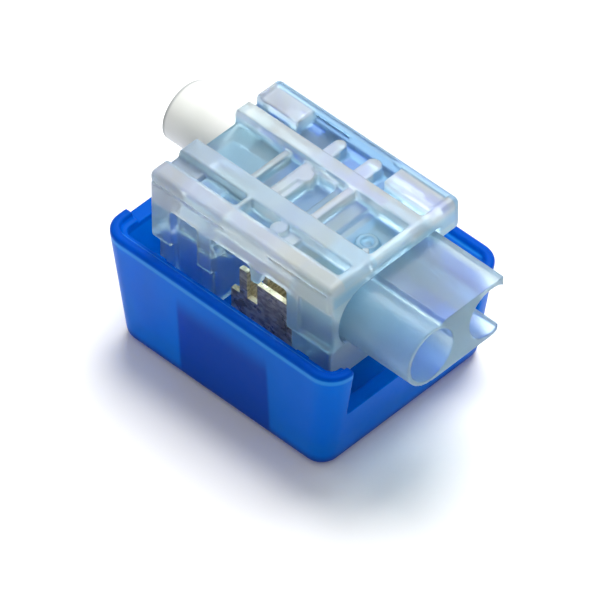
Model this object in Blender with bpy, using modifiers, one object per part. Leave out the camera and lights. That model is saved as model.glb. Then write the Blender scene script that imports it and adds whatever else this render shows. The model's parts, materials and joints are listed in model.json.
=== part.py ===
"""Press-down wire connector with insulation-displacement contact.

A blue tub holds a folded, slotted contact.  A clear carrier with two wire ports at the front
and a sleeve at the back stands in the tub and is pressed down onto the contact.

Frame: +X towards the two wire ports, +Z up, origin in the middle of the tub's underside.
"""
from math import asin, cos, pi, sin

import bmesh
import bpy

mm = 0.001

# Running gap between pieces that touch, and how far a cutter runs past the face it opens.
GAP = 0.3 * mm
PAST = 1.0 * mm
ROUND_STEPS = 48
ALONG_X, ALONG_Y, ALONG_Z = 0, 1, 2

# Wires: the bores that take them, and how far the press moves them onto the blades.
WIRE_BORE = 5.14 * mm
PORT_WALL = 0.43 * mm
WIRE_WEB = 1.2 * mm
TRAVEL = 4.5 * mm

# Tub: walls, draft, and the room it leaves around the carrier.
TUB_HEIGHT = 12.0 * mm
TUB_WALL = 1.5 * mm
TUB_FLOOR = 1.3 * mm
TUB_EDGE = 0.4 * mm
TUB_CORNER = 1.5 * mm
RIM_CORNER = 2.2 * mm
END_ROOM = 1.7 * mm
SIDE_ROOM = 1.25 * mm
END_DRAFT = 1.8 * mm
SIDE_DRAFT = 0.6 * mm
BACK_STEP_DEPTH = 0.8 * mm
BACK_STEP_INSET = 0.6 * mm
SEAT_RIB_HEIGHT = 1.3 * mm
SEAT_RIB_WIDTH = 0.8 * mm
SEAT_RIB_REACH = 1.2 * mm
GUIDE_WIDTH = 1.4 * mm
GUIDE_BELOW_RIM = 1.5 * mm
GUIDE_FROM_BACK = 1.8 * mm
GUIDE_FROM_FRONT = 2.8 * mm

# Contact: one stamping folded up from a floor strip.
SHEET = 0.5 * mm
BLADE_SPACING = 5.2 * mm
BLADE_MIDDLE = 1.4 * mm
BLADE_RISE = 1.0 * mm
WING_OUT = 1.8 * mm
WING_BEHIND = 1.5 * mm
WING_AHEAD = 1.2 * mm
WING_BELOW_PRONG = 3.0 * mm
PLATE_BELOW_PRONG = 0.6 * mm
PLATE_ENDS = (1.6 * mm, 0.6 * mm)
PRONG_WIDTH = 0.9 * mm
SLOT_WIDTH = 0.7 * mm
SLOT_DEPTH = 4.1 * mm
MOUTH_WIDTH = 3.0 * mm
MOUTH_DEPTH = 1.8 * mm

# Carrier: the blocks behind and ahead of its window, its feet and its side features.
REAR_BLOCK = 7.3 * mm
FRONT_BLOCK = 5.2 * mm
WINDOW_ROOM_BACK = 0.4 * mm
WINDOW_ROOM_FRONT = 0.6 * mm
CARRIER_WALL = 1.4 * mm
CARRIER_EDGE = 0.5 * mm
FOOT_ROOM = 0.4 * mm
FOOT_HEIGHT = 4.2 * mm
FOOT_INSET = 0.6 * mm
WIRE_ABOVE_FOOT = 6.5 * mm
BORE_ROOF = 0.23 * mm
FRONT_OPEN_BELOW_DECK = 0.8 * mm
SIDE_RECESS_DEPTH = 1.0 * mm
SIDE_RECESS_ENDS = (2.5 * mm, 1.5 * mm)
PANEL_DEPTH = 0.4 * mm
PANEL_FRAME = (0.7 * mm, 1.1 * mm)
PANEL_ABOVE_SHOULDER = 0.6 * mm
PANEL_ABOVE_WIRE = 1.5 * mm
NOSE_RADIUS = 1.0 * mm
NOSE_BEHIND = 0.4 * mm
NOSE_LENGTH = 1.1 * mm
TOOTH_FROM_PLATE = 1.2 * mm
TOOTH_WIDTH = 1.1 * mm
TOOTH_DROP = 2.8 * mm

# Deck: its skin over the port block, the height of its ribs, and what is sunk into it.
DECK_SKIN = 0.3 * mm
RAIL_HEIGHT = 1.5 * mm
RIB_HEIGHT = 0.7 * mm
FRONT_WALL = 1.0 * mm
NOTCH_ROW = (2.6 * mm, 3.8 * mm)
NOTCH_DEPTH = 1.1 * mm
DECK_STRIP = (6.1 * mm, 4.6 * mm)
CHANNEL = (3.0 * mm, 1.9 * mm)
RAIL_SKIN = 0.6 * mm
PAD_LENGTH = 5.2 * mm
PAD_RECESS = 0.4 * mm
RAIL_POCKET_DEPTH = 0.5 * mm
BACK_POCKET = 5.2 * mm
BACK_NOTCH = 3.6 * mm
SMALL_NOTCHES = ((5.8 * mm, 2.5 * mm), (9.0 * mm, 2.6 * mm), (14.4 * mm, 5.6 * mm))
REAR_POCKET = (5.9 * mm, 7.9 * mm)
DECK_WINDOW = (8.6 * mm, 11.7 * mm)
BAR_POCKET = (12.3 * mm, 12.9 * mm)
FRONT_POCKET = (6.6 * mm, 1.4 * mm)
BAR_WIDTH = 0.9 * mm
BAR_RISE = 0.3 * mm
FINGERS = (9.0 * mm, 13.0 * mm)
FINGER_WIDTH = 1.0 * mm
FINGER_LENGTH = 1.2 * mm
GATE_FROM_FRONT = 2.3 * mm
GATE_FROM_SIDE = 7.4 * mm
GATE_RADIUS = 0.8 * mm
GATE_WALL = 0.35 * mm
GATE_HEIGHT = 0.4 * mm
GROOVE_ABOVE_FLOOR = 0.2 * mm
GROOVE_HEIGHT = 0.35 * mm
GROOVE_DEPTH = 0.5 * mm

# Port block and sleeve.
PORT_REACH = 7.6 * mm
PORT_END_ROOM = 0.4 * mm
PORT_CREST = 0.1 * mm
PORT_VALLEY = 1.2 * mm
CHANNEL_LIP = 0.8 * mm
SLEEVE_BORE = 5.0 * mm
SLEEVE_WALL = 0.45 * mm
SLEEVE_REACH = 6.9 * mm
SLEEVE_SEAT = 2.5 * mm
SLEEVE_DROP = 0.4 * mm

# Places that follow from the sizes above.  Across: the two wires.
PORT_TUBE = WIRE_BORE + 2 * PORT_WALL
LEFT_WIRE = -(PORT_TUBE + WIRE_WEB) / 2
RIGHT_WIRE = (PORT_TUBE + WIRE_WEB) / 2
CARRIER_HALF = RIGHT_WIRE + PORT_TUBE / 2 + CARRIER_WALL
PORT_SIDE = RIGHT_WIRE + CHANNEL_LIP
SLEEVE_OUTER = SLEEVE_BORE + 2 * SLEEVE_WALL

# Heights: the pressed carrier's feet clear the seat ribs, and everything stands on that.
FOOT_BOTTOM = TUB_FLOOR + SEAT_RIB_HEIGHT + TRAVEL + FOOT_ROOM
FOOT_SHOULDER = FOOT_BOTTOM + FOOT_HEIGHT
WIRE_HEIGHT = FOOT_BOTTOM + WIRE_ABOVE_FOOT
SLEEVE_HEIGHT = WIRE_HEIGHT - SLEEVE_DROP
PORT_BOTTOM = WIRE_HEIGHT - PORT_TUBE / 2
PORT_TOP = WIRE_HEIGHT + PORT_TUBE / 2 + PORT_CREST
DECK_UNDERSIDE = WIRE_HEIGHT + WIRE_BORE / 2 + BORE_ROOF
DECK_FLOOR = PORT_TOP + GAP + DECK_SKIN
DECK_RIB_TOP = DECK_FLOOR + RIB_HEIGHT
CARRIER_TOP = DECK_FLOOR + RAIL_HEIGHT
BLADE_TOP = WIRE_HEIGHT - TRAVEL + BLADE_RISE
PRONG_TOP = DECK_UNDERSIDE - TRAVEL - GAP

# Along: the contact sets the window, and the blocks stand around it.
BLADES_AT = (BLADE_MIDDLE - BLADE_SPACING / 2, BLADE_MIDDLE + BLADE_SPACING / 2)
WING_SPAN = (BLADES_AT[0] - WING_BEHIND, BLADES_AT[1] + WING_AHEAD)
PLATE_SPAN = (BLADES_AT[0] + PLATE_ENDS[0], BLADES_AT[1] + PLATE_ENDS[1])
WINDOW_BACK = WING_SPAN[0] - WINDOW_ROOM_BACK
WINDOW_FRONT = WING_SPAN[1] + WINDOW_ROOM_FRONT
CARRIER_BACK = WINDOW_BACK - REAR_BLOCK
CARRIER_FRONT = WINDOW_FRONT + FRONT_BLOCK
WING_INNER = RIGHT_WIRE + WING_OUT
RIM_LENGTH = CARRIER_FRONT - CARRIER_BACK + 2 * (END_ROOM + TUB_WALL)
RIM_WIDTH = 2 * (CARRIER_HALF + SIDE_ROOM + TUB_WALL)


def clear_scene():
    for old in list(bpy.data.objects):
        bpy.data.objects.remove(old, do_unlink=True)


def new_collection(name):
    collection = bpy.data.collections.new(name)
    bpy.context.scene.collection.children.link(collection)
    return collection


def add_object(name, shape, collection):
    """Turns a bmesh into an object with its faces pointing out."""
    bmesh.ops.recalc_face_normals(shape, faces=shape.faces)
    if shape.calc_volume(signed=True) < 0.0:
        bmesh.ops.reverse_faces(shape, faces=shape.faces)
    mesh = bpy.data.meshes.new(name)
    shape.to_mesh(mesh)
    shape.free()
    body = bpy.data.objects.new(name, mesh)
    collection.objects.link(body)
    return body


def box(name, low, high, collection):
    """A block between two corners."""
    shape = bmesh.new()
    bmesh.ops.create_cube(shape, size=1.0)
    for corner in shape.verts:
        corner.co = [high[i] if corner.co[i] > 0 else low[i] for i in range(3)]
    return add_object(name, shape, collection)


def bar(name, axis, span, centre, radius, collection):
    """A round bar along one axis; centre is its place on the next two axes in X, Y, Z, X order."""
    shape = bmesh.new()
    bmesh.ops.create_cone(shape, cap_ends=True, segments=ROUND_STEPS,
                          radius1=radius, radius2=radius, depth=1.0)
    for point in shape.verts:
        place = [0.0, 0.0, 0.0]
        place[axis] = span[1] if point.co.z > 0 else span[0]
        place[(axis + 1) % 3] = centre[0] + point.co.x
        place[(axis + 2) % 3] = centre[1] + point.co.y
        point.co = place
    return add_object(name, shape, collection)


def rounded_loop(length, width, radius, height, steps=8):
    """Points of a rectangle with round corners, at one height."""
    points = []
    for quarter in range(4):
        side_x = 1 if quarter in (0, 3) else -1
        side_y = 1 if quarter in (0, 1) else -1
        for step in range(steps + 1):
            angle = (quarter + step / steps) * pi / 2
            points.append((side_x * (length / 2 - radius) + radius * cos(angle),
                           side_y * (width / 2 - radius) + radius * sin(angle), height))
    return points


def loft(name, loops, collection):
    """A closed skin through loops of equal point counts, capped at both ends."""
    shape = bmesh.new()
    rings = [[shape.verts.new(point) for point in loop] for loop in loops]
    for lower, upper in zip(rings, rings[1:]):
        for i in range(len(lower)):
            j = (i + 1) % len(lower)
            shape.faces.new((lower[i], lower[j], upper[j], upper[i]))
    shape.faces.new(reversed(rings[0]))
    shape.faces.new(rings[-1])
    return add_object(name, shape, collection)


def combine(target, tools, operation):
    """Adds one exact Boolean per tool and keeps the tools as wire guides."""
    for tool in tools:
        tool.hide_render = True
        tool.display_type = "WIRE"
        step = target.modifiers.new(tool.name, "BOOLEAN")
        step.operation = operation
        step.solver = "EXACT"
        step.object = tool


def plastic(name, color, roughness, metallic=0.0, transmission=0.0):
    """A Principled material for one sub-part."""
    material = bpy.data.materials.new(name)
    material.use_nodes = True
    shader = material.node_tree.nodes["Principled BSDF"]
    shader.inputs["Base Color"].default_value = (*color, 1.0)
    shader.inputs["Roughness"].default_value = roughness
    shader.inputs["Metallic"].default_value = metallic
    shader.inputs["Transmission Weight"].default_value = transmission
    return material


def finish(body, material, smooth_below=0.5):
    body.data.materials.append(material)
    body.data.shade_smooth()
    body.data.set_sharp_from_angle(angle=smooth_below)


def tub_size(height):
    """Outer length, width and corner radius of the tub at a height, along its draft."""
    below = 1.0 - height / TUB_HEIGHT
    return (RIM_LENGTH - 2 * END_DRAFT * below, RIM_WIDTH - 2 * SIDE_DRAFT * below,
            RIM_CORNER + (TUB_CORNER - RIM_CORNER) * below)


def tub_loop(height, inset):
    length, width, corner = tub_size(height)
    return rounded_loop(length - 2 * inset, width - 2 * inset,
                        max(corner - inset, GAP), height)


def guide_rib(name, along, at, face, guides):
    """An upright rib inside the tub: it runs from face into the drafted wall behind it."""
    loops = []
    for height in (TUB_FLOOR / 2, TUB_HEIGHT - GUIDE_BELOW_RIM):
        length, width, _ = tub_size(height)
        reach = (length if along == ALONG_X else width) / 2 - TUB_WALL / 2
        outer = reach if face > 0 else -reach
        corners = ((face, at - GUIDE_WIDTH / 2), (outer, at - GUIDE_WIDTH / 2),
                   (outer, at + GUIDE_WIDTH / 2), (face, at + GUIDE_WIDTH / 2))
        if along == ALONG_X:
            loops.append([(deep, across, height) for deep, across in corners])
        else:
            loops.append([(across, deep, height) for deep, across in corners])
    return loft(name, loops, guides)


def tub_ribs(guides):
    """Two low ribs that keep the contact in place, and guides around the carrier."""
    ribs = []
    for i, back in enumerate((WING_SPAN[0] - GAP - SEAT_RIB_WIDTH, WING_SPAN[1] + GAP)):
        half = WING_INNER + SEAT_RIB_REACH
        ribs.append(box(f"seat_rib_{i}", (back, -half, TUB_FLOOR / 2),
                        (back + SEAT_RIB_WIDTH, half, TUB_FLOOR + SEAT_RIB_HEIGHT), guides))
    for side in (-1, 1):
        places = (CARRIER_BACK + GUIDE_FROM_BACK, CARRIER_FRONT - GUIDE_FROM_FRONT)
        for i, at in enumerate(places):
            ribs.append(guide_rib(f"side_guide_{side}_{i}", ALONG_Y, at,
                                  side * (CARRIER_HALF + GAP), guides))
    for i, at in enumerate((LEFT_WIRE - PORT_TUBE / 2, RIGHT_WIRE - SLEEVE_OUTER)):
        ribs.append(guide_rib(f"back_guide_{i}", ALONG_X, at, CARRIER_BACK - GAP, guides))
    return ribs


def build_tub(parts, guides):
    tub = loft("base_tub", [tub_loop(0.0, TUB_EDGE), tub_loop(TUB_EDGE, 0.0),
                            tub_loop(TUB_HEIGHT, 0.0)], parts)
    far, above = RIM_LENGTH, TUB_HEIGHT + PAST
    slot_radius = SLEEVE_OUTER / 2 + GAP
    slot_centre = SLEEVE_HEIGHT - TRAVEL
    back_half = CARRIER_HALF - BACK_STEP_INSET
    cuts = [loft("tub_cavity", [tub_loop(TUB_FLOOR, TUB_WALL), tub_loop(above, TUB_WALL)],
                 guides),
            box("front_cut", (0.0, -CARRIER_HALF, PORT_BOTTOM - TRAVEL - GAP),
                (far, CARRIER_HALF, above), guides),
            box("back_step", (-far, -back_half, TUB_HEIGHT - BACK_STEP_DEPTH),
                (0.0, back_half, above), guides),
            bar("slot_round", ALONG_X, (-far, 0.0), (RIGHT_WIRE, slot_centre),
                slot_radius, guides),
            box("slot_sides", (-far, RIGHT_WIRE - slot_radius, slot_centre),
                (0.0, RIGHT_WIRE + slot_radius, above), guides)]
    combine(tub, cuts, "DIFFERENCE")
    combine(tub, tub_ribs(guides), "UNION")
    finish(tub, plastic("blue_tub", (0.005, 0.09, 0.55), 0.3, transmission=0.5))


def port_prism(name, span, grow, collection):
    """The closed tube and the web beside it, with a valley along the tube's crest."""
    radius = PORT_TUBE / 2 + grow
    valley = PORT_VALLEY - grow
    turn = pi + asin(valley / radius)
    outline = [(PORT_SIDE + grow, PORT_BOTTOM - grow)]
    for step in range(ROUND_STEPS + 1):
        angle = 1.5 * pi - turn * step / ROUND_STEPS
        outline.append((LEFT_WIRE + radius * cos(angle), WIRE_HEIGHT + radius * sin(angle)))
    outline.append((LEFT_WIRE + valley, PORT_TOP + grow))
    outline.append((PORT_SIDE + grow, PORT_TOP + grow))
    return loft(name, [[(x, across, height) for across, height in outline] for x in span],
                collection)


def build_port_block(parts, guides):
    span = (WINDOW_FRONT + PORT_END_ROOM, CARRIER_FRONT + PORT_REACH)
    block = port_prism("port_block", span, 0.0, parts)
    bores = [bar(f"port_bore_{i}", ALONG_X, (span[0] - PAST, span[1] + PAST),
                 (at, WIRE_HEIGHT), WIRE_BORE / 2, guides)
             for i, at in enumerate((LEFT_WIRE, RIGHT_WIRE))]
    combine(block, bores, "DIFFERENCE")
    finish(block, plastic("clear_port", (0.86, 0.92, 0.97), 0.15, transmission=0.9))


def build_sleeve(parts, guides):
    centre = (RIGHT_WIRE, SLEEVE_HEIGHT)
    ends = (CARRIER_BACK - SLEEVE_REACH, CARRIER_BACK + SLEEVE_SEAT)
    sleeve = bar("rear_sleeve", ALONG_X, ends, centre, SLEEVE_OUTER / 2, parts)
    bore = bar("sleeve_bore", ALONG_X, (ends[0] - PAST, ends[1] + PAST), centre,
               SLEEVE_BORE / 2, guides)
    combine(sleeve, [bore], "DIFFERENCE")
    finish(sleeve, plastic("milky_sleeve", (0.85, 0.87, 0.83), 0.35, transmission=0.3))


def deck_cuts(guides):
    """Pockets, notches and grooves sunk into the carrier's top."""
    above = CARRIER_TOP + PAST
    behind = CARRIER_BACK - PAST
    wall = CARRIER_FRONT - FRONT_WALL
    left, right = DECK_STRIP[0] - CARRIER_HALF, CARRIER_HALF - DECK_STRIP[1]
    channel = (CARRIER_HALF - CHANNEL[0], CARRIER_HALF - CHANNEL[1])
    skin = CARRIER_HALF - RAIL_SKIN
    strips = (("deck_lower", behind, wall, DECK_RIB_TOP),
              ("back_pocket", behind, CARRIER_BACK + BACK_POCKET, DECK_FLOOR),
              ("rear_pocket", CARRIER_BACK + REAR_POCKET[0], CARRIER_BACK + REAR_POCKET[1],
               DECK_FLOOR),
              ("deck_window", CARRIER_BACK + DECK_WINDOW[0], CARRIER_BACK + DECK_WINDOW[1],
               DECK_UNDERSIDE - PAST),
              ("bar_pocket", CARRIER_BACK + BAR_POCKET[0], CARRIER_BACK + BAR_POCKET[1],
               DECK_FLOOR),
              ("front_pocket", CARRIER_FRONT - FRONT_POCKET[0],
               CARRIER_FRONT - FRONT_POCKET[1], DECK_FLOOR))
    cuts = [box(name, (back, left, floor), (front, right, above), guides)
            for name, back, front, floor in strips]
    cuts.append(box("channel", (behind, channel[0], DECK_FLOOR),
                    (wall, channel[1], above), guides))
    cuts.append(box("rail_pocket",
                    (CARRIER_BACK + PAD_LENGTH, channel[0], DECK_FLOOR - RAIL_POCKET_DEPTH),
                    (CARRIER_FRONT - PAD_LENGTH, skin, above), guides))
    cuts.append(box("pad_recess",
                    (CARRIER_BACK + RAIL_SKIN, channel[0], CARRIER_TOP - PAD_RECESS),
                    (wall, skin, above), guides))
    notches = [(behind, CARRIER_BACK + BACK_NOTCH)]
    notches += [(CARRIER_BACK + start, CARRIER_BACK + start + length)
                for start, length in SMALL_NOTCHES]
    for i, (back, front) in enumerate(notches):
        cuts.append(box(f"notch_{i}",
                        (back, NOTCH_ROW[0] - CARRIER_HALF, CARRIER_TOP - NOTCH_DEPTH),
                        (front, NOTCH_ROW[1] - CARRIER_HALF, above), guides))
    groove = DECK_FLOOR + GROOVE_ABOVE_FLOOR
    for side in (-1, 1):
        near, far = sorted((side * (CARRIER_HALF - GROOVE_DEPTH), side * (CARRIER_HALF + PAST)))
        cuts.append(box(f"side_groove_{side}", (behind, near, groove),
                        (wall, far, groove + GROOVE_HEIGHT), guides))
    return cuts


def leg_cuts(guides):
    """The window across the carrier, its inset feet and the recesses in its sides."""
    below = FOOT_BOTTOM - PAST
    behind, ahead = CARRIER_BACK - PAST, CARRIER_FRONT + PAST
    outside = CARRIER_HALF + PAST
    panel_top = WIRE_HEIGHT + PANEL_ABOVE_WIRE
    cuts = [box("window", (WINDOW_BACK, -outside, below),
                (WINDOW_FRONT, outside, DECK_UNDERSIDE), guides),
            box("front_open_side", (WINDOW_FRONT - PAST, PORT_SIDE + GAP, below),
                (ahead, outside, DECK_UNDERSIDE - FRONT_OPEN_BELOW_DECK), guides),
            box("foot_back", (behind, -outside, below),
                (CARRIER_BACK + FOOT_INSET, outside, FOOT_SHOULDER), guides),
            box("foot_front", (CARRIER_FRONT - FOOT_INSET, -outside, below),
                (ahead, outside, FOOT_SHOULDER), guides),
            box("front_panel",
                (WINDOW_FRONT + PANEL_FRAME[0], -outside, FOOT_SHOULDER + PANEL_ABOVE_SHOULDER),
                (CARRIER_FRONT - PANEL_FRAME[1], PANEL_DEPTH - CARRIER_HALF, panel_top),
                guides)]
    for side in (-1, 1):
        foot = sorted((side * (CARRIER_HALF - FOOT_INSET), side * outside))
        recess = sorted((side * (CARRIER_HALF - SIDE_RECESS_DEPTH), side * outside))
        cuts.append(box(f"foot_side_{side}", (behind, foot[0], below),
                        (ahead, foot[1], FOOT_SHOULDER), guides))
        cuts.append(box(f"side_recess_{side}",
                        (CARRIER_BACK + SIDE_RECESS_ENDS[0], recess[0], below),
                        (WINDOW_BACK - SIDE_RECESS_ENDS[1], recess[1], DECK_UNDERSIDE), guides))
    return cuts


def wire_cuts(guides):
    """Seats for the port block and the sleeve, and the bores behind the window."""
    cuts = [port_prism("port_seat", (WINDOW_FRONT - PAST, CARRIER_FRONT + PAST), GAP, guides)]
    seat_end = CARRIER_BACK + SLEEVE_SEAT + GAP
    cuts.append(bar("sleeve_seat", ALONG_X, (CARRIER_BACK - PAST, seat_end),
                    (RIGHT_WIRE, SLEEVE_HEIGHT), SLEEVE_OUTER / 2 + GAP, guides))
    for i, at in enumerate((LEFT_WIRE, RIGHT_WIRE)):
        cuts.append(bar(f"wire_bore_{i}", ALONG_X, (seat_end - GAP, WINDOW_BACK + PAST),
                        (at, WIRE_HEIGHT), WIRE_BORE / 2, guides))
    return cuts


def gate_ring(guides):
    """A low C-shaped ring on the floor of the front pocket."""
    floor = DECK_FLOOR - DECK_SKIN / 2
    centre = (CARRIER_FRONT - GATE_FROM_FRONT, GATE_FROM_SIDE - CARRIER_HALF)
    ring = bar("gate_ring", ALONG_Z, (floor, DECK_FLOOR + GATE_HEIGHT), centre,
               GATE_RADIUS, guides)
    hole = bar("gate_hole", ALONG_Z, (floor - PAST, DECK_FLOOR + PAST), centre,
               GATE_RADIUS - GATE_WALL, guides)
    mouth = box("gate_mouth", (centre[0] - PAST, centre[1] - GATE_WALL, floor - PAST),
                (centre[0], centre[1] + GATE_WALL, DECK_FLOOR + PAST), guides)
    combine(ring, [hole, mouth], "DIFFERENCE")
    return ring


def deck_additions(guides):
    """The raised bar ahead of the deck's window and the two fingers in the rail's pocket."""
    left, right = DECK_STRIP[0] - CARRIER_HALF, CARRIER_HALF - DECK_STRIP[1]
    bar_back = CARRIER_BACK + BAR_POCKET[1]
    added = [box("deck_bar", (bar_back, left - GAP, DECK_FLOOR - DECK_SKIN / 2),
                 (bar_back + BAR_WIDTH, right + GAP, DECK_RIB_TOP + BAR_RISE), guides)]
    channel = CARRIER_HALF - CHANNEL[0]
    for i, offset in enumerate(FINGERS):
        at = CARRIER_BACK + offset
        base = DECK_FLOOR - RAIL_POCKET_DEPTH - DECK_SKIN / 2
        added.append(box(f"finger_{i}", (at - FINGER_WIDTH / 2, channel - GAP, base),
                         (at + FINGER_WIDTH / 2, channel + FINGER_LENGTH, DECK_RIB_TOP), guides))
        added.append(bar(f"finger_end_{i}", ALONG_Z, (base, DECK_RIB_TOP),
                         (at, channel + FINGER_LENGTH), FINGER_WIDTH / 2, guides))
    added.append(gate_ring(guides))
    return added


def side_additions(guides):
    """A round nose on the leg behind the window and a tooth that hangs into it, each side."""
    added = []
    tooth_back = PLATE_SPAN[0] + TOOTH_FROM_PLATE
    for side in (-1, 1):
        near, far = sorted((side * (CARRIER_HALF - NOSE_LENGTH), side * (CARRIER_HALF - GAP)))
        added.append(bar(f"nose_{side}", ALONG_Y, (near, far),
                         (WIRE_HEIGHT, WINDOW_BACK - NOSE_BEHIND), NOSE_RADIUS, guides))
        added.append(box(f"tooth_{side}", (tooth_back, near, DECK_UNDERSIDE - TOOTH_DROP),
                         (tooth_back + TOOTH_WIDTH, far, DECK_UNDERSIDE + GAP), guides))
    return added


def build_carrier(parts, guides):
    carrier = box("wire_carrier", (CARRIER_BACK, -CARRIER_HALF, FOOT_BOTTOM),
                  (CARRIER_FRONT, CARRIER_HALF, CARRIER_TOP), parts)
    edge = carrier.modifiers.new("round_edges", "BEVEL")
    edge.width = CARRIER_EDGE
    edge.segments = 3
    combine(carrier, leg_cuts(guides) + wire_cuts(guides) + deck_cuts(guides), "DIFFERENCE")
    combine(carrier, deck_additions(guides) + side_additions(guides), "UNION")
    finish(carrier, plastic("clear_carrier", (0.86, 0.92, 0.97), 0.25, transmission=0.9))


def contact_flaps(guides):
    """Blades across the wires and wings along them, all standing on the floor strip."""
    bottom = TUB_FLOOR + GAP
    flaps = [box(f"blade_{i}", (at - SHEET / 2, GAP - WING_INNER, bottom),
                 (at + SHEET / 2, WING_INNER - GAP, BLADE_TOP), guides)
             for i, at in enumerate(BLADES_AT)]
    prong = (BLADES_AT[0] - SHEET, BLADES_AT[0] - SHEET + PRONG_WIDTH)
    shapes = (("wing", WING_SPAN, PRONG_TOP - WING_BELOW_PRONG),
              ("plate", PLATE_SPAN, PRONG_TOP - PLATE_BELOW_PRONG),
              ("prong", prong, PRONG_TOP))
    for side in (-1, 1):
        near, far = sorted((side * WING_INNER, side * (WING_INNER + SHEET)))
        for label, span, top in shapes:
            flaps.append(box(f"{label}_{side}", (span[0], near, bottom),
                             (span[1], far, top), guides))
    return flaps


def build_contact(parts, guides):
    bottom = TUB_FLOOR + GAP
    contact = box("idc_contact", (BLADES_AT[0], -WING_INNER - SHEET, bottom),
                  (BLADES_AT[1], WING_INNER + SHEET, bottom + SHEET), parts)
    combine(contact, contact_flaps(guides), "UNION")
    slots = []
    ends = (BLADES_AT[0] - SHEET, BLADES_AT[1] + SHEET)
    for i, at in enumerate((LEFT_WIRE, RIGHT_WIRE)):
        slots.append(box(f"slot_{i}", (ends[0], at - SLOT_WIDTH / 2, BLADE_TOP - SLOT_DEPTH),
                         (ends[1], at + SLOT_WIDTH / 2, BLADE_TOP + PAST), guides))
        mouth = [[(x, at - SLOT_WIDTH / 2, BLADE_TOP - MOUTH_DEPTH),
                  (x, at + SLOT_WIDTH / 2, BLADE_TOP - MOUTH_DEPTH),
                  (x, at + MOUTH_WIDTH / 2, BLADE_TOP + GAP),
                  (x, at - MOUTH_WIDTH / 2, BLADE_TOP + GAP)] for x in ends]
        slots.append(loft(f"mouth_{i}", mouth, guides))
    combine(contact, slots, "DIFFERENCE")
    finish(contact, plastic("tin_plate", (0.62, 0.6, 0.56), 0.3, metallic=1.0))


clear_scene()
part_collection = new_collection("wire_connector")
guide_collection = new_collection("cutters")
build_tub(part_collection, guide_collection)
build_contact(part_collection, guide_collection)
build_carrier(part_collection, guide_collection)
build_port_block(part_collection, guide_collection)
build_sleeve(part_collection, guide_collection)
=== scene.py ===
"""Looks of the press-down wire connector: moulded plastic, tinned contact, bench and light.

Each plastic piece is built again from rounded solids around its CAD node, cut and joined, and
skinned, or for the sleeve bevelled, so that every edge has the small radius of a moulding.
"""
import json
from math import asin, cos, pi, radians, sin

import bmesh
import bpy
from mathutils import Matrix, Vector


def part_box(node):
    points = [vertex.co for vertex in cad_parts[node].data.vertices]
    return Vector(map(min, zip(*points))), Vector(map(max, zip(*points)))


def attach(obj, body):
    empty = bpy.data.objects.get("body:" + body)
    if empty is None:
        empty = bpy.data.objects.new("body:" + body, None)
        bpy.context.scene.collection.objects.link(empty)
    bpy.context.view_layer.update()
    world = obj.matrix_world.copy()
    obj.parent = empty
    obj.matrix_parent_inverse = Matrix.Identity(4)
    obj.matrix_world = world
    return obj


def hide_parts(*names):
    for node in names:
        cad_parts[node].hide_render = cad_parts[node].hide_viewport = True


mm = 0.001
PAST = 1.0 * mm    # how far a cutting solid reaches past the face that it cuts
ALONG_X, ALONG_Y, ALONG_Z = 0, 1, 2

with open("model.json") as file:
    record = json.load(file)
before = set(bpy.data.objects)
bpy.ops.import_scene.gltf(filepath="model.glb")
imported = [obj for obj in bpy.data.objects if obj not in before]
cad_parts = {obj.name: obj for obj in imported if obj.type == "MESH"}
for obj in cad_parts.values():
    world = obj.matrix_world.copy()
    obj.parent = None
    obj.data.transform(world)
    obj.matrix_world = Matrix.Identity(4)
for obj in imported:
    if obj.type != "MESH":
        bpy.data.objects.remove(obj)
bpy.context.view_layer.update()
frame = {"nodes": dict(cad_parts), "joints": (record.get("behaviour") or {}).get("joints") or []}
TUB_LOW, TUB_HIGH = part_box("base_tub")
BODY_LOW, BODY_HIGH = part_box("wire_carrier")
PORT_LOW, PORT_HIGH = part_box("port_block")
SLEEVE_LOW, SLEEVE_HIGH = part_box("rear_sleeve")
CONTACT_LOW, CONTACT_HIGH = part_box("idc_contact")
TRAVEL = frame["joints"][0]["range_m"][1]

CARRIER_HALF = BODY_HIGH.y
SLEEVE_RADIUS = (SLEEVE_HIGH.y - SLEEVE_LOW.y) / 2
SLEEVE_HEIGHT = (SLEEVE_LOW.z + SLEEVE_HIGH.z) / 2
RIGHT_WIRE = (SLEEVE_LOW.y + SLEEVE_HIGH.y) / 2
LEFT_WIRE = -RIGHT_WIRE
WIRE_HEIGHT = 14.0 * mm
BORE_RADIUS = 2.57 * mm
TUBE_RADIUS = WIRE_HEIGHT - PORT_LOW.z
SEAT_ROOM = 0.3 * mm    # clearance between a piece and the seat that takes it


# ---- solids ---------------------------------------------------------------------------------

def add_object(shape):
    bmesh.ops.recalc_face_normals(shape, faces=shape.faces)
    if shape.calc_volume(signed=True) < 0.0:
        bmesh.ops.reverse_faces(shape, faces=shape.faces)
    mesh = bpy.data.meshes.new("solid")
    shape.to_mesh(mesh)
    shape.free()
    body = bpy.data.objects.new("solid", mesh)
    bpy.context.scene.collection.objects.link(body)
    return body


def box(low, high, round_by=0.0):
    shape = bmesh.new()
    bmesh.ops.create_cube(shape, size=1.0)
    for corner in shape.verts:
        corner.co = [high[i] if corner.co[i] > 0 else low[i] for i in range(3)]
    if round_by:
        bmesh.ops.bevel(shape, geom=shape.edges[:], offset=round_by, segments=3, profile=0.5,
                        affect="EDGES")
    return add_object(shape)


def side_box(side, x_span, y_span, z_span):
    """A box whose Y span is measured from the middle plane, to the left or the right of it."""
    near, far = sorted(side * y for y in y_span)
    return box((x_span[0], near, z_span[0]), (x_span[1], far, z_span[1]))


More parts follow.
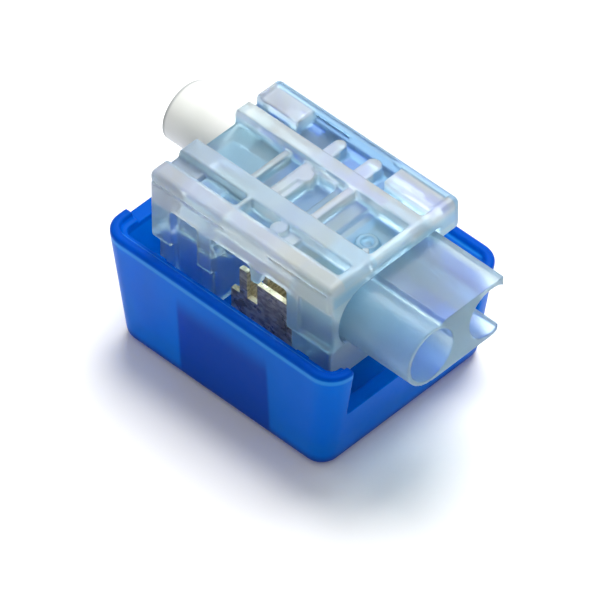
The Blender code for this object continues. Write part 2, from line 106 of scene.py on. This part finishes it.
def bar(axis, span, centre, radius, steps=96):
    """A round bar along an axis; centre is its place across the next two axes, in order."""
    shape = bmesh.new()
    bmesh.ops.create_cone(shape, cap_ends=True, segments=steps, radius1=radius,
                          radius2=radius, depth=1.0)
    for point in shape.verts:
        place = [0.0, 0.0, 0.0]
        place[axis] = span[1] if point.co.z > 0 else span[0]
        place[(axis + 1) % 3] = centre[0] + point.co.x
        place[(axis + 2) % 3] = centre[1] + point.co.y
        point.co = place
    return add_object(shape)


def loft(loops):
    """A solid through closed outlines that all have as many points."""
    shape = bmesh.new()
    rings = [[shape.verts.new(point) for point in loop] for loop in loops]
    for lower, upper in zip(rings, rings[1:]):
        for i in range(len(lower)):
            j = (i + 1) % len(lower)
            shape.faces.new((lower[i], lower[j], upper[j], upper[i]))
    shape.faces.new(reversed(rings[0]))
    shape.faces.new(rings[-1])
    return add_object(shape)


def rounded_loop(length, width, radius, height, steps=10):
    points = []
    for quarter in range(4):
        side_x = 1 if quarter in (0, 3) else -1
        side_y = 1 if quarter in (0, 1) else -1
        for step in range(steps + 1):
            angle = (quarter + step / steps) * pi / 2
            points.append((side_x * (length / 2 - radius) + radius * cos(angle),
                           side_y * (width / 2 - radius) + radius * sin(angle), height))
    return points


def settle(body):
    """Gives a piece the mesh that its modifiers make."""
    graph = bpy.context.evaluated_depsgraph_get()
    made = bpy.data.meshes.new_from_object(body.evaluated_get(graph))
    body.modifiers.clear()
    body.data = made


def combine(target, tools, operation):
    """Applies one exact Boolean per tool and removes the tools."""
    for tool in tools:
        step = target.modifiers.new("step", "BOOLEAN")
        step.operation = operation
        step.solver = "MANIFOLD"
        step.object = tool
    settle(target)
    for tool in tools:
        bpy.data.objects.remove(tool, do_unlink=True)


def mould(body, voxel, smooth, keep):
    """Skins a piece so that its edges get a small radius, and thins the skin.

    The work is done a thousand times larger, where the modifiers round off less.
    """
    body.data.transform(Matrix.Scale(1 / mm, 4))
    skin = body.modifiers.new("skin", "REMESH")
    skin.mode = "VOXEL"
    skin.voxel_size = voxel / mm
    soft = body.modifiers.new("soft", "SMOOTH")
    soft.factor = 0.5
    soft.iterations = smooth
    thin = body.modifiers.new("thin", "DECIMATE")
    thin.ratio = keep
    settle(body)
    body.data.transform(Matrix.Scale(mm, 4))
    body.data.shade_smooth()


def round_edges(body, width):
    """Bevels a piece's sharp edges in place of the skin."""
    edge = body.modifiers.new("edge", "BEVEL")
    edge.width = width
    edge.segments = 3
    edge.limit_method = "ANGLE"
    edge.angle_limit = radians(40)
    settle(body)
    body.data.shade_smooth()


def show(body, name, rides, node, material):
    body.name = name
    body.data.materials.clear()
    body.data.materials.append(material)
    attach(body, rides)
    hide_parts(node)


# ---- tub ------------------------------------------------------------------------------------

RIM_LENGTH = TUB_HIGH.x - TUB_LOW.x
RIM_WIDTH = TUB_HIGH.y - TUB_LOW.y
TUB_TOP = TUB_HIGH.z
TUB_WALL = 1.5 * mm
TUB_FLOOR = 1.3 * mm
END_DRAFT = 1.8 * mm
SIDE_DRAFT = 0.6 * mm
TOP_CORNER = 2.4 * mm
CORNER_DRAFT = 0.6 * mm
FOOT_ROUND = 0.9 * mm
LIP_ROUND = 0.35 * mm
RIM_LAND = 0.9 * mm
REBATE = 0.5 * mm
FLOOR_FILLET = 0.6 * mm
BACK_DROP = 0.8 * mm
# Guide ribs beside the carrier.
RIB_ENDS = (BODY_LOW.x + 1.8 * mm, BODY_HIGH.x - 2.8 * mm)
RIB_HALF = 0.7 * mm
RIB_Y = (CARRIER_HALF + 0.3 * mm, 9.7 * mm)
RIB_Z = (0.6 * mm, TUB_TOP - 1.5 * mm)


def tub_loop(height, inset):
    """The tub's outline at a height on its draft, moved in by inset."""
    below = 1.0 - height / TUB_TOP
    length = RIM_LENGTH - 2 * END_DRAFT * below - 2 * inset
    width = RIM_WIDTH - 2 * SIDE_DRAFT * below - 2 * inset
    corner = max(TOP_CORNER - CORNER_DRAFT * below - inset, 0.5 * mm)
    return rounded_loop(length, width, corner, height)


def tub_outlines():
    """Outlines up the outside from the foot, over the rim and down the inside to the floor."""
    turns = [step * pi / 12 for step in range(7)]
    quarter = [(1 - sin(turn), 1 - cos(turn)) for turn in turns]
    outlines = [tub_loop(FOOT_ROUND * b, FOOT_ROUND * a) for a, b in quarter]
    outlines += [tub_loop(TUB_TOP - LIP_ROUND * a, LIP_ROUND * b) for a, b in quarter]
    outlines += [tub_loop(TUB_TOP, RIM_LAND),
                 tub_loop(TUB_TOP - REBATE, RIM_LAND + 0.1 * mm),
                 tub_loop(TUB_TOP - REBATE, TUB_WALL)]
    outlines += [tub_loop(TUB_FLOOR + FLOOR_FILLET * a, TUB_WALL + FLOOR_FILLET * b)
                 for a, b in quarter]
    return outlines


def build_tub():
    tub = loft(tub_outlines())
    far, above = RIM_LENGTH, TUB_TOP + PAST
    front_floor = PORT_LOW.z - TRAVEL - SEAT_ROOM
    slot_radius = SLEEVE_RADIUS + SEAT_ROOM
    slot_height = SLEEVE_HEIGHT - TRAVEL
    back_half = CARRIER_HALF - 0.6 * mm
    cuts = [box((0.0, -CARRIER_HALF, front_floor), (far, CARRIER_HALF, above)),
            box((-far, -back_half, TUB_TOP - BACK_DROP), (0.0, back_half, above)),
            bar(ALONG_X, (-far, 0.0), (RIGHT_WIRE, slot_height), slot_radius),
            box((-far, RIGHT_WIRE - slot_radius, slot_height),
                (0.0, RIGHT_WIRE + slot_radius, above))]
    combine(tub, cuts, "DIFFERENCE")
    ribs = [side_box(side, (at - RIB_HALF, at + RIB_HALF), RIB_Y, RIB_Z)
            for side in (-1, 1) for at in RIB_ENDS]
    combine(tub, ribs, "UNION")
    mould(tub, 0.14 * mm, smooth=3, keep=0.62)
    return tub


# ---- carrier --------------------------------------------------------------------------------

SIDE_WALL = 1.4 * mm
END_WALL = 0.9 * mm
SKIRT = 0.9 * mm
SKIRT_DROP = 0.9 * mm
EDGE_ROUND = 0.55 * mm
WINDOW = (CONTACT_LOW.x - 0.4 * mm, CONTACT_HIGH.x + 0.6 * mm)
DECK_ROOF = WIRE_HEIGHT + 2.8 * mm    # underside of the deck
LEG_FOOT = BODY_LOW.z - PAST
LEG_SHOULDER = BODY_LOW.z + 4.2 * mm
LEG_STEP = 0.6 * mm
ARCH_SIDE = 5.2 * mm

# Sunk areas of the deck, in millimetres: from x, to x, from y, to y, floor height.
DECK_SUNK = (
    (-12.0, 10.1, -2.3, 2.6, 18.4),    # strip between the middle ribs
    (-12.0, -4.4, -2.3, 2.6, 17.4),    # over the sleeve's end
    (-3.7, -2.1, -2.3, 2.6, 17.5),
    (-0.3, 1.8, -2.0, 2.3, 17.2),      # over the contact
    (1.8, 2.7, -2.3, 2.6, 18.0),
    (3.9, 5.4, -2.3, 2.6, 17.9),
    (5.4, 10.1, -2.3, 2.6, 17.5),      # gate recess
    (-12.0, 10.1, 4.1, 5.2, 17.7),     # groove along the far rail
    (-5.6, 4.6, 4.1, 7.45, 17.4),
    (-9.9, 10.0, 5.2, 7.45, 18.8),
    (-12.0, -7.2, -5.9, -4.3, 18.3),   # notches beside the near rail
    (-7.2, -4.6, -5.9, -4.3, 18.0),
    (-4.6, -2.2, -5.9, -4.3, 17.7),
    (-1.7, 1.3, -5.9, -4.3, 17.7),
    (1.0, 4.4, -5.9, -4.3, 18.4),
    (4.2, 9.9, -5.9, -4.3, 17.9),
    (3.2, 9.9, -5.2, -4.3, 18.4),
)
# Ribs that stand in them: from x, to x, from y, to y, foot height, top height.
DECK_RIBS = (
    (3.0, 3.8, -3.1, 2.8, 17.3, 18.95),
    (-1.8, -1.0, -2.5, 2.8, 17.3, 18.6),
    (-1.2, 2.9, -2.45, -2.2, 17.3, 18.75),
    (-1.9, -0.6, 3.6, 5.9, 17.0, 18.7),
    (1.7, 3.3, 3.6, 6.1, 17.0, 18.7),
)
# Round posts: x, y, radius, foot height, top height.
DECK_POSTS = (
    (-1.25, 5.9, 0.65, 17.0, 18.7),
    (2.5, 6.1, 0.8, 17.0, 18.7),
    (-0.9, 1.3, 0.8, 17.3, 18.6),
    (2.2, -5.1, 0.75, 17.0, 19.0),
    (9.3, -2.0, 0.35, 17.3, 18.9),
)
# Gate ring: x, y, outer radius, inner radius, foot, floor of its hole, top, top of the cut.
GATE = (8.0, -0.4, 1.0, 0.6, 17.3, 17.45, 17.95, 19.0)
# The tooth that hangs from the skirt over the contact: x and z of its corners.
TOOTH = ((1.3, 16.4), (3.2, 16.4), (2.4, 14.2), (1.5, 14.0))
NOSE_HEIGHT, NOSE_RADIUS = 14.2 * mm, 0.8 * mm


def from_row(row):
    return [value * mm for value in row]


def deck_sinks():
    above = BODY_HIGH.z + PAST
    return [box((x0, y0, floor), (x1, y1, above))
            for x0, x1, y0, y1, floor in map(from_row, DECK_SUNK)]


def deck_details():
    details = [box((x0, y0, foot), (x1, y1, top))
               for x0, x1, y0, y1, foot, top in map(from_row, DECK_RIBS)]
    details += [bar(ALONG_Z, (foot, top), (x, y), radius, 48)
                for x, y, radius, foot, top in map(from_row, DECK_POSTS)]
    x, y, outer, inner, foot, floor, top, above = from_row(GATE)
    ring = bar(ALONG_Z, (foot, top), (x, y), outer, 64)
    combine(ring, [bar(ALONG_Z, (floor, above), (x, y), inner, 64)], "DIFFERENCE")
    return details + [ring]


def side_sinks():
    """Grooves, recesses and the stepped foot on the long sides."""
    back, front, half = BODY_LOW.x, BODY_HIGH.x, CARRIER_HALF
    behind, ahead, outside = back - PAST, front + PAST, half + PAST
    sinks = [box((behind, -outside, LEG_FOOT), (back + LEG_STEP, outside, LEG_SHOULDER)),
             box((front - LEG_STEP, -outside, LEG_FOOT), (ahead, outside, LEG_SHOULDER)),
             box((WINDOW[1] - PAST, ARCH_SIDE + SEAT_ROOM, LEG_FOOT),
                 (ahead, outside, DECK_ROOF - 0.8 * mm))]
    # From x, to x, depth, low, high.
    rows = ((behind, WINDOW[0] + 1.6 * mm, 0.5, 17.95, 18.2),
            (WINDOW[1] - 2.3 * mm, front - 0.5 * mm, 0.4, 18.2, 18.45),
            (back + 2.5 * mm, WINDOW[0] - 1.7 * mm, 1.0, 5.0, 15.9),
            (front - 3.8 * mm, ahead, 0.35, 12.2, 16.3))
    for side in (-1, 1):
        sinks.append(side_box(side, (behind, ahead), (half - LEG_STEP, outside),
                              (LEG_FOOT, LEG_SHOULDER)))
        for start, end, *sizes in rows:
            depth, low, high = from_row(sizes)
            sinks.append(side_box(side, (start, end), (half - depth, outside), (low, high)))
    return sinks


def window_sinks():
    """The opening across the carrier, with a skirt left along each long side."""
    skirt, outside = CARRIER_HALF - SKIRT, CARRIER_HALF + PAST
    return [box((WINDOW[0], -skirt, LEG_FOOT), (WINDOW[1], skirt, DECK_ROOF)),
            box((WINDOW[0], -outside, LEG_FOOT), (WINDOW[1], outside, DECK_ROOF - SKIRT_DROP))]


def hollow():
    """The space under the deck on both sides of the window, open downwards."""
    inside = CARRIER_HALF - SIDE_WALL
    rear = box((BODY_LOW.x + END_WALL, -inside, LEG_FOOT),
               (WINDOW[0] - END_WALL, inside, DECK_ROOF - 0.1 * mm))
    tubes = [bar(ALONG_X, (BODY_LOW.x, WINDOW[0]), (at, WIRE_HEIGHT), TUBE_RADIUS + room)
             for at, room in ((LEFT_WIRE, 0.0), (RIGHT_WIRE, SEAT_ROOM))]
    combine(rear, tubes, "DIFFERENCE")
    front = box((WINDOW[1] + END_WALL, -inside, LEG_FOOT),
                (BODY_HIGH.x - END_WALL, inside, PORT_LOW.z - 0.4 * mm))
    return [rear, front]


def wire_bores(span):
    return [bar(ALONG_X, span, (at, WIRE_HEIGHT), BORE_RADIUS) for at in (LEFT_WIRE, RIGHT_WIRE)]


def wire_sinks():
    """Seats of the port block and the sleeve, and the bores between them."""
    block = port_prism((PORT_LOW.x - SEAT_ROOM, BODY_HIGH.x + PAST), SEAT_ROOM)
    sleeve = bar(ALONG_X, (BODY_LOW.x - PAST, SLEEVE_HIGH.x + SEAT_ROOM),
                 (RIGHT_WIRE, SLEEVE_HEIGHT), SLEEVE_RADIUS + SEAT_ROOM)
    return [block, sleeve] + wire_bores((SLEEVE_HIGH.x, PORT_LOW.x))


def side_details():
    """The rounded nose on the leg behind the window and the tooth over the contact."""
    details = []
    for side in (-1, 1):
        outer = side * (CARRIER_HALF - 0.1 * mm)
        span = sorted((side * (CARRIER_HALF - 1.2 * mm), outer))
        details.append(bar(ALONG_Y, span, (NOSE_HEIGHT, WINDOW[0] - 0.3 * mm), NOSE_RADIUS, 48))
        span = sorted((side * (CARRIER_HALF - SKIRT), outer))
        details.append(loft([[(x, y, z) for x, z in map(from_row, TOOTH)] for y in span]))
    return details


def build_carrier():
    carrier = box((BODY_LOW.x, -CARRIER_HALF, BODY_LOW.z), BODY_HIGH, EDGE_ROUND)
    combine(carrier, deck_sinks() + side_sinks() + window_sinks() + hollow(), "DIFFERENCE")
    combine(carrier, deck_details() + side_details(), "UNION")
    combine(carrier, wire_sinks(), "DIFFERENCE")
    mould(carrier, 0.13 * mm, smooth=3, keep=0.6)
    return carrier


# ---- port block, sleeve and contact ---------------------------------------------------------

VALLEY = 0.9 * mm
CREST_SLOPE = 0.7 * mm
LIP_CORNER = 1.1 * mm
LIP_STEP = 0.5 * mm
SLEEVE_WALL = 0.45 * mm


def port_prism(span, grow):
    """The closed tube and the web beside it, grown by a clearance for their seat."""
    radius = TUBE_RADIUS + grow
    valley = VALLEY - grow
    turn = pi + asin(valley / radius)
    steps = 40
    section = [(ARCH_SIDE - LIP_STEP + grow, PORT_LOW.z - grow)]
    for step in range(steps + 1):
        angle = 1.5 * pi - turn * step / steps
        section.append((LEFT_WIRE + radius * cos(angle), WIRE_HEIGHT + radius * sin(angle)))
    section.append((LEFT_WIRE + valley + CREST_SLOPE, PORT_HIGH.z + grow))
    section.append((ARCH_SIDE + grow, PORT_HIGH.z + grow))
    return loft([[(x, y, z) for y, z in section] for x in span])


def build_port_block():
    block = port_prism((PORT_LOW.x, PORT_HIGH.x), 0.0)
    centre = (PORT_HIGH.x - LIP_CORNER, ARCH_SIDE - LIP_CORNER)
    corner = box((*centre, PORT_LOW.z - PAST),
                 (PORT_HIGH.x + PAST, ARCH_SIDE + PAST, WIRE_HEIGHT))
    combine(corner, [bar(ALONG_Z, (PORT_LOW.z - 2 * PAST, PORT_HIGH.z + 2 * PAST), centre,
                         LIP_CORNER)], "DIFFERENCE")
    bores = wire_bores((PORT_LOW.x - PAST, PORT_HIGH.x + PAST))
    combine(block, bores + [corner], "DIFFERENCE")
    mould(block, 0.1 * mm, smooth=4, keep=0.7)
    return block


def build_sleeve():
    middle = (RIGHT_WIRE, SLEEVE_HEIGHT)
    sleeve = bar(ALONG_X, (SLEEVE_LOW.x, SLEEVE_HIGH.x), middle, SLEEVE_RADIUS, 128)
    combine(sleeve, [bar(ALONG_X, (SLEEVE_LOW.x - PAST, SLEEVE_HIGH.x + PAST), middle,
                         SLEEVE_RADIUS - SLEEVE_WALL, 128)], "DIFFERENCE")
    round_edges(sleeve, 0.15 * mm)
    return sleeve


def build_contact():
    body = bpy.data.objects.new("contact", frame["nodes"]["idc_contact"].data.copy())
    bpy.context.scene.collection.objects.link(body)
    round_edges(body, 0.09 * mm)
    return body


# ---- materials ------------------------------------------------------------------------------

def new_material(name):
    material = bpy.data.materials.new(name)
    material.use_nodes = True
    tree = material.node_tree
    return material, tree, tree.nodes["Principled BSDF"]


def noise(tree, scale, detail=3.0, stretch=(1.0, 1.0, 1.0)):
    """Noise in the piece's own coordinates; scale is the pattern's repeats per metre."""
    place = tree.nodes.new("ShaderNodeTexCoord")
    turn = tree.nodes.new("ShaderNodeMapping")
    turn.inputs["Scale"].default_value = stretch
    grain = tree.nodes.new("ShaderNodeTexNoise")
    grain.inputs["Scale"].default_value = scale
    grain.inputs["Detail"].default_value = detail
    tree.links.new(place.outputs["Object"], turn.inputs["Vector"])
    tree.links.new(turn.outputs["Vector"], grain.inputs["Vector"])
    return grain.outputs["Fac"]


def vary(tree, factor, low, high, to):
    """Feeds a socket with a value or colour that runs from low to high with a 0..1 factor."""
    ramp = tree.nodes.new("ShaderNodeValToRGB")
    ramp.color_ramp.elements[0].position = 0.35
    ramp.color_ramp.elements[1].position = 0.65
    ends = [(v, v, v, 1.0) if isinstance(v, float) else (*v, 1.0) for v in (low, high)]
    ramp.color_ramp.elements[0].color, ramp.color_ramp.elements[1].color = ends
    tree.links.new(factor, ramp.inputs["Fac"])
    tree.links.new(ramp.outputs["Color"], to)


def bump(tree, shader, height, depth, strength):
    dent = tree.nodes.new("ShaderNodeBump")
    dent.inputs["Distance"].default_value = depth
    dent.inputs["Strength"].default_value = strength
    tree.links.new(height, dent.inputs["Height"])
    tree.links.new(dent.outputs["Normal"], shader.inputs["Normal"])


def ramp_up(tree, value, low, high):
    """0 at low and 1 at high, smooth between and level beyond; low may be the larger."""
    step = tree.nodes.new("ShaderNodeMapRange")
    step.interpolation_type = "SMOOTHSTEP"
    ends = (low, high, 0.0, 1.0) if low < high else (high, low, 1.0, 0.0)
    for socket, end in zip(("From Min", "From Max", "To Min", "To Max"), ends):
        step.inputs[socket].default_value = end
    tree.links.new(value, step.inputs["Value"])
    return step.outputs["Result"]


def past(tree, axis, low, high):
    """A ramp along the piece's own X, Y or Z, between two places in millimetres."""
    place = tree.nodes.new("ShaderNodeTexCoord")
    split = tree.nodes.new("ShaderNodeSeparateXYZ")
    tree.links.new(place.outputs["Object"], split.inputs["Vector"])
    return ramp_up(tree, split.outputs[axis], low * mm, high * mm)


def merge(tree, operation, *factors):
    """Joins factors pair by pair with MULTIPLY or MAXIMUM."""
    joined = factors[0]
    for factor in factors[1:]:
        node = tree.nodes.new("ShaderNodeMath")
        node.operation = operation
        tree.links.new(joined, node.inputs[0])
        tree.links.new(factor, node.inputs[1])
        joined = node.outputs["Value"]
    return joined


def zone(tree, *ramps):
    """1 where all the ramps are 1; each is an axis, low and high, as past takes them."""
    return merge(tree, "MULTIPLY", *(past(tree, *ramp) for ramp in ramps))


def blend_color(tree, factor, base, over):
    """Base where the factor is 0 and over where it is 1; each is a colour or a socket."""
    mix = tree.nodes.new("ShaderNodeMix")
    mix.data_type = "RGBA"
    tree.links.new(factor, mix.inputs["Factor"])
    for socket, color in ((mix.inputs[6], base), (mix.inputs[7], over)):
        if isinstance(color, tuple):
            socket.default_value = (*color, 1.0)
        else:
            tree.links.new(color, socket)
    return mix.outputs[2]


def clouded(tree, grain, thin, thick):
    """A colour that drifts between two tones with a noise."""
    return blend_color(tree, ramp_up(tree, grain, 0.35, 0.65), thin, thick)


def paint(tree, shader, color, layers):
    """Blends layers, each a factor and a colour, over a colour and onto the shader."""
    for factor, over in layers:
        color = blend_color(tree, factor, color, over)
    tree.links.new(color, shader.inputs["Base Color"])


def plastic(name, roughness, transmission, ior):
    material, tree, shader = new_material(name)
    shader.inputs["Transmission Weight"].default_value = transmission
    shader.inputs["IOR"].default_value = ior
    vary(tree, noise(tree, 500.0), roughness - 0.05, roughness + 0.05, shader.inputs["Roughness"])
    return material, tree, shader


def blue_plastic():
    """Saturated translucent blue, with painted shade on the rim, at the foot and on each long
    wall where the contact stands behind it, and a painted highlight along the top of the outer
    wall.
    """
    material, tree, shader = plastic("blue_plastic", 0.36, 0.45, 1.25)
    shader.inputs["Specular IOR Level"].default_value = 0.12
    shader.inputs["Specular Tint"].default_value = (0.0, 0.4, 1.0, 1.0)
    end, side = RIM_LENGTH / 2 / mm - 1.1, RIM_WIDTH / 2 / mm - 1.1
    # painted shade: a darker patch on each long wall where the contact stands behind it
    contact = zone(tree, ("X", -4.85, -4.35), ("X", 6.25, 5.75), ("Z", 10.4, 7.5))
    # painted highlight: a lighter band along the top of the outer wall, just below the rim
    lip_highlight = zone(tree, ("Z", 11.0, 11.3), ("Z", 11.7, 11.5))
    # painted shade: the rim's inner edge and rebate are darker
    inside_rim_shade = zone(tree, ("Z", 10.6, 10.9), ("X", end, end - 0.2), ("Y", side, side - 0.2),
                      ("Y", -side, 0.2 - side))
    paint(tree, shader,
          clouded(tree, noise(tree, 90.0), (0.0, 0.23, 0.92), (0.0, 0.19, 0.84)),
          ((contact, (0.0, 0.08, 0.55)),
           (lip_highlight, (0.04, 0.42, 1.0)),
           (inside_rim_shade, (0.0, 0.12, 0.66)),
           # painted shade: the rim's top face is darker
           (past(tree, "Z", 11.55, 11.85), (0.0, 0.10, 0.62)),
           # painted shade: darker towards the foot
           (past(tree, "Z", 1.6, 0.5), (0.0, 0.07, 0.5))))
    return material


def clear_plastic(name, clarity, low, high):
    """Hazy clear plastic, milkier in its ribs and along the upper face of its near side, where
    painted light also whitens it; painted blue of the tub's light where it is low and thin.

    The ribs rise between the heights low and high, in millimetres. The far rail's outer skin and
    its recess are thinnest and take the strongest painted blue of the tub's light.
    """
    material, tree, shader = plastic(name, 0.33, clarity, 1.32)
    # painted light: the near side's upper face is whitened as a fill light would brighten it, and
    # made milkier
    beam_light = zone(tree, ("Y", -7.3, -7.8), ("Z", 15.4, 16.2))
    ribs_and_beam_light = merge(tree, "MAXIMUM", past(tree, "Z", low, high), beam_light)
    # painted light: low, thin floors take a bluer colour for the tub's light seen through them
    sunk_tub_light = zone(tree, ("Z", low + 0.2, low - 0.4), ("Z", 16.8, 17.1))
    notched = merge(tree, "MULTIPLY", zone(tree, ("Y", -6.4, -6.1), ("Y", -2.2, -2.5)), ribs_and_beam_light)
    # painted light: the far rail's recess takes the tub's blue light as colour
    pocket_tub_light = zone(tree, ("Y", 5.1, 5.5), ("X", -5.8, -5.4), ("X", 4.8, 4.4),
                  ("Z", 16.6, 17.0), ("Z", 18.7, 18.5))
    paint(tree, shader,
          clouded(tree, noise(tree, 260.0), (0.68, 0.90, 1.0), (0.74, 0.93, 1.0)),
          ((sunk_tub_light, (0.50, 0.80, 1.0)),
           # milky ribs, with painted light on the near side's upper face
           (ribs_and_beam_light, (0.98, 1.0, 0.98)),
           (notched, (0.78, 0.93, 1.0)),
           # painted light: the far rail's outer skin takes the tub's blue light as colour
           (past(tree, "Y", 7.1, 7.4), (0.50, 0.74, 0.92)),
           (pocket_tub_light, (0.38, 0.66, 0.94))))
    haze = tree.nodes.new("ShaderNodeMapRange")
    haze.inputs["To Min"].default_value = clarity
    haze.inputs["To Max"].default_value = clarity - 0.12
    tree.links.new(ribs_and_beam_light, haze.inputs["Value"])
    tree.links.new(haze.outputs["Result"], shader.inputs["Transmission Weight"])
    return material


def milky_plastic():
    """Natural milky plastic, greyer at the sleeve's open end."""
    material, tree, shader = plastic("milky_plastic", 0.38, 0.25, 1.4)
    end = SLEEVE_LOW.x / mm
    paint(tree, shader,
          clouded(tree, noise(tree, 260.0), (0.85, 0.87, 0.83), (0.88, 0.89, 0.86)),
          ((past(tree, "X", end + 0.35, end + 0.05), (0.45, 0.47, 0.47)),))
    return material


def tin():
    """Brushed tin plate, painted warmer low down where it stands in the tub's blue light, to
    offset that light.
    """
    material, tree, shader = new_material("tin")
    shader.inputs["Metallic"].default_value = 0.35
    brushed = noise(tree, 2500.0, 4.0, (0.5, 0.5, 1.0))
    paint(tree, shader, clouded(tree, brushed, (0.40, 0.37, 0.24), (0.95, 0.92, 0.74)),
          # painted light: below the tub's rim the tin is painted warmer to offset the tub's blue
          # light on it
          ((past(tree, "Z", 12.2, 11.6),
            clouded(tree, brushed, (0.56, 0.45, 0.26), (0.96, 0.84, 0.60))),))
    vary(tree, noise(tree, 900.0), 0.22, 0.5, shader.inputs["Roughness"])
    bump(tree, shader, brushed, 0.02 * mm, 0.15)
    return material


show(build_tub(), "tub_shell", "tub", "base_tub", blue_plastic())
show(build_carrier(), "carrier_body", "carrier", "wire_carrier",
     clear_plastic("clear_plastic", 0.88, 18.0, 18.6))
show(build_port_block(), "port_tubes", "carrier", "port_block",
     clear_plastic("port_plastic", 0.92, 17.0, 17.6))
show(build_sleeve(), "wire_sleeve", "carrier", "rear_sleeve", milky_plastic())
show(build_contact(), "contact_sheet", "tub", "idc_contact", tin())


# ---- bench, light and camera ----------------------------------------------------------------

BENCH_HALF, BENCH_DEPTH = 0.4, 0.002
LIGHT_PLACE, LIGHT_AIM = Vector((-0.07, 0.15, 0.34)), Vector((0.0, 0.0, 0.01))
LIGHT_SIZE, LIGHT_WATTS = 0.26, 1.8
WORLD_STRENGTH = 0.5
AZIMUTH, ELEVATION = radians(43.88), radians(45.18)
CAMERA_AIM = Vector((0.0, 0.0, 0.006))
CAMERA_RIGHT, CAMERA_UP, CAMERA_BACK = -0.00017, -0.00069, 0.771


def add_bench():
    bench = box((-BENCH_HALF, -BENCH_HALF, -BENCH_DEPTH), (BENCH_HALF, BENCH_HALF, 0.0))
    bench.name = "bench"
    white, tree, shader = new_material("bench_white")
    shader.inputs["Roughness"].default_value = 0.9
    shader.inputs["Specular IOR Level"].default_value = 0.1
    vary(tree, noise(tree, 40.0), (0.93, 0.93, 0.93), (0.95, 0.95, 0.95),
         shader.inputs["Base Color"])
    bench.data.materials.append(white)


def add_light():
    world = bpy.data.worlds.new("studio")
    bpy.context.scene.world = world
    world.use_nodes = True
    background = world.node_tree.nodes["Background"]
    background.inputs["Color"].default_value = (1, 1, 1, 1)
    background.inputs["Strength"].default_value = WORLD_STRENGTH
    data = bpy.data.lights.new("key", "AREA")
    data.shape = "DISK"
    data.size = LIGHT_SIZE
    data.energy = LIGHT_WATTS
    lamp = bpy.data.objects.new("key", data)
    lamp.location = LIGHT_PLACE
    lamp.rotation_euler = (LIGHT_AIM - LIGHT_PLACE).to_track_quat("-Z", "Y").to_euler()
    bpy.context.scene.collection.objects.link(lamp)


def add_camera():
    back = Vector((sin(AZIMUTH) * cos(ELEVATION), -cos(AZIMUTH) * cos(ELEVATION),
                   sin(ELEVATION)))
    right = Vector((cos(AZIMUTH), sin(AZIMUTH), 0.0))
    up = back.cross(right)
    lens = bpy.data.cameras.new("camera")
    lens.lens = 540
    lens.sensor_width = 36
    lens.clip_end = 10
    camera = bpy.data.objects.new("camera", lens)
    bpy.context.scene.collection.objects.link(camera)
    place = Matrix((right, up, back)).transposed().to_4x4()
    place.translation = (CAMERA_AIM + right * CAMERA_RIGHT + up * CAMERA_UP
                         + back * CAMERA_BACK)
    camera.matrix_world = place
    bpy.context.scene.camera = camera


add_bench()
add_light()
add_camera()
bpy.context.scene.view_settings.view_transform = "Standard"
bpy.context.scene.cycles.use_denoising = True
